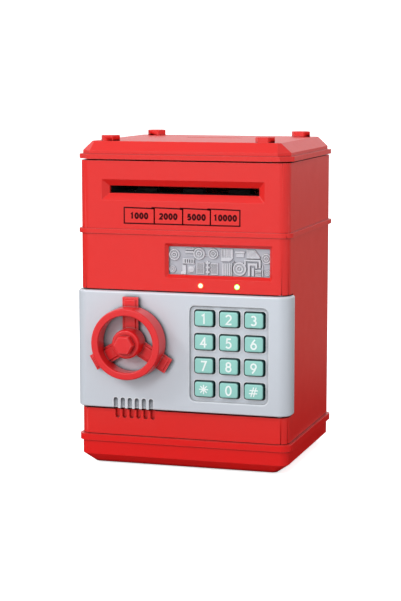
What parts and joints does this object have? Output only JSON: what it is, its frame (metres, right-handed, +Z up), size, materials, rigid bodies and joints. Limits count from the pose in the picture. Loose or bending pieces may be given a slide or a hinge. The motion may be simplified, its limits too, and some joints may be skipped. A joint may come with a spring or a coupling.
{
  "type": "toy safe coin bank",
  "caption": "Toy safe coin bank with a bill slot, coin slot, hinged front door, number keypad and turning latch wheel",
  "frame": {"origin": "centre of the footprint box at the bottom of the rubber feet", "axes": "+Z up, -Y towards the front of the safe (the door), +X to the right seen from the front"},
  "size_m": [0.1272, 0.125, 0.191],
  "materials": {
    "case_red": "moulded, smooth satin gloss",
    "door_silver": "silver paint over moulded plastic, satin",
    "relief_silver": "silver sprayed relief, satin",
    "key_mint": "soft satin silicone, pale green",
    "black_plastic": "fine matt",
    "roller_rubber": "matt",
    "steel": "zinc plated",
    "motor_can": "bright can",
    "battery_wrap": "printed sleeve, plain",
    "white_nylon": "nylon",
    "board_green": "solder resist",
    "lamp_red": "lit lens",
    "lamp_green": "lit lens"
  },
  "bodies": {
    "case": {"base_tray": "case_red", "battery_cover": "case_red", "rear_shell": "case_red", "safe_floor": "case_red", "front_frame": "case_red", "partition_plate": "case_red", "top_cover": "case_red", "cover_bolts": "case_red", "relief_plate": "relief_silver", "note_guide": "black_plastic", "feeder_frame": "black_plastic", "coin_chute": "black_plastic", "board_parts": "black_plastic", "speaker": "black_plastic", "rubber_feet": "roller_rubber", "battery_screw": "steel", "battery_contacts": "steel", "base_screws": "steel", "frame_screws": "steel", "hinge_pins": "steel", "board_screws": "steel", "feeder_screws": "steel", "drive_motor": "motor_can", "batteries": "battery_wrap", "main_board": "board_green", "red_led": "lamp_red", "green_led": "lamp_green"},
    "door": {"door_panel": "door_silver", "door_liner": "door_silver", "door_screws": "steel", "keypad_mat": "black_plastic", "keypad_board": "board_green", "shaft_bushing": "black_plastic", "lock_solenoid": "steel"},
    "wheel": {"hand_wheel": "case_red", "wheel_bolt": "case_red", "wheel_shaft": "steel", "lock_collar": "steel", "latch_cam": "steel", "cam_nut": "steel"},
    "plunger": {"lock_plunger": "steel"},
    "feed_roller": {"feed_shaft": "steel", "feed_gear": "white_nylon", "feed_rollers": "roller_rubber"},
    "pinch_roller": {"pinch_shaft": "steel", "pinch_rollers": "roller_rubber"},
    "pinion": {"motor_pinion": "white_nylon"},
    "key_1_button": {"key_1": "key_mint"},
    "key_2_button": {"key_2": "key_mint"},
    "key_3_button": {"key_3": "key_mint"},
    "key_4_button": {"key_4": "key_mint"},
    "key_5_button": {"key_5": "key_mint"},
    "key_6_button": {"key_6": "key_mint"},
    "key_7_button": {"key_7": "key_mint"},
    "key_8_button": {"key_8": "key_mint"},
    "key_9_button": {"key_9": "key_mint"},
    "key_star_button": {"key_star": "key_mint"},
    "key_0_button": {"key_0": "key_mint"},
    "key_hash_button": {"key_hash": "key_mint"}
  },
  "joints": [
    {"name": "door_hinge", "type": "hinge", "parent": "case", "child": "door", "pos_m": [0.0565, -0.0381, 0.0686], "axis": [0, 0, 1], "range_deg": [0, 100]},
    {"name": "wheel_turn", "type": "hinge", "parent": "door", "child": "wheel", "pos_m": [-0.0289, -0.0421, 0.0739], "axis": [0, 1, 0], "range_deg": [0, 90]},
    {"name": "lock_slide", "type": "slide", "parent": "door", "child": "plunger", "axis": [0, 0, -1], "range_m": [0, 0.0025], "stiffness_N_per_m": 60, "springref_m": -0.0012},
    {"name": "feed_spin", "type": "hinge", "parent": "case", "child": "feed_roller", "pos_m": [0, -0.0181, 0.1554], "axis": [1, 0, 0], "continuous": true},
    {"name": "pinch_spin", "type": "hinge", "parent": "case", "child": "pinch_roller", "pos_m": [0, -0.0181, 0.1654], "axis": [1, 0, 0], "continuous": true},
    {"name": "pinion_spin", "type": "hinge", "parent": "case", "child": "pinion", "pos_m": [-0.05, -0.0001, 0.1554], "axis": [1, 0, 0], "continuous": true},
    {"name": "key_1_press", "type": "slide", "parent": "door", "child": "key_1_button", "axis": [0, 1, 0], "range_m": [0, 0.0012], "stiffness_N_per_m": 250, "springref_m": -0.0003},
    {"name": "key_2_press", "type": "slide", "parent": "door", "child": "key_2_button", "axis": [0, 1, 0], "range_m": [0, 0.0012], "stiffness_N_per_m": 250, "springref_m": -0.0003},
    {"name": "key_3_press", "type": "slide", "parent": "door", "child": "key_3_button", "axis": [0, 1, 0], "range_m": [0, 0.0012], "stiffness_N_per_m": 250, "springref_m": -0.0003},
    {"name": "key_4_press", "type": "slide", "parent": "door", "child": "key_4_button", "axis": [0, 1, 0], "range_m": [0, 0.0012], "stiffness_N_per_m": 250, "springref_m": -0.0003},
    {"name": "key_5_press", "type": "slide", "parent": "door", "child": "key_5_button", "axis": [0, 1, 0], "range_m": [0, 0.0012], "stiffness_N_per_m": 250, "springref_m": -0.0003},
    {"name": "key_6_press", "type": "slide", "parent": "door", "child": "key_6_button", "axis": [0, 1, 0], "range_m": [0, 0.0012], "stiffness_N_per_m": 250, "springref_m": -0.0003},
    {"name": "key_7_press", "type": "slide", "parent": "door", "child": "key_7_button", "axis": [0, 1, 0], "range_m": [0, 0.0012], "stiffness_N_per_m": 250, "springref_m": -0.0003},
    {"name": "key_8_press", "type": "slide", "parent": "door", "child": "key_8_button", "axis": [0, 1, 0], "range_m": [0, 0.0012], "stiffness_N_per_m": 250, "springref_m": -0.0003},
    {"name": "key_9_press", "type": "slide", "parent": "door", "child": "key_9_button", "axis": [0, 1, 0], "range_m": [0, 0.0012], "stiffness_N_per_m": 250, "springref_m": -0.0003},
    {"name": "key_star_press", "type": "slide", "parent": "door", "child": "key_star_button", "axis": [0, 1, 0], "range_m": [0, 0.0012], "stiffness_N_per_m": 250, "springref_m": -0.0003},
    {"name": "key_0_press", "type": "slide", "parent": "door", "child": "key_0_button", "axis": [0, 1, 0], "range_m": [0, 0.0012], "stiffness_N_per_m": 250, "springref_m": -0.0003},
    {"name": "key_hash_press", "type": "slide", "parent": "door", "child": "key_hash_button", "axis": [0, 1, 0], "range_m": [0, 0.0012], "stiffness_N_per_m": 250, "springref_m": -0.0003}
  ],
  "couplings": [
    {"joint": "pinch_spin", "follows": "feed_spin", "ratio": -1},
    {"joint": "pinion_spin", "follows": "feed_spin", "ratio": -2.3333}
  ]
}
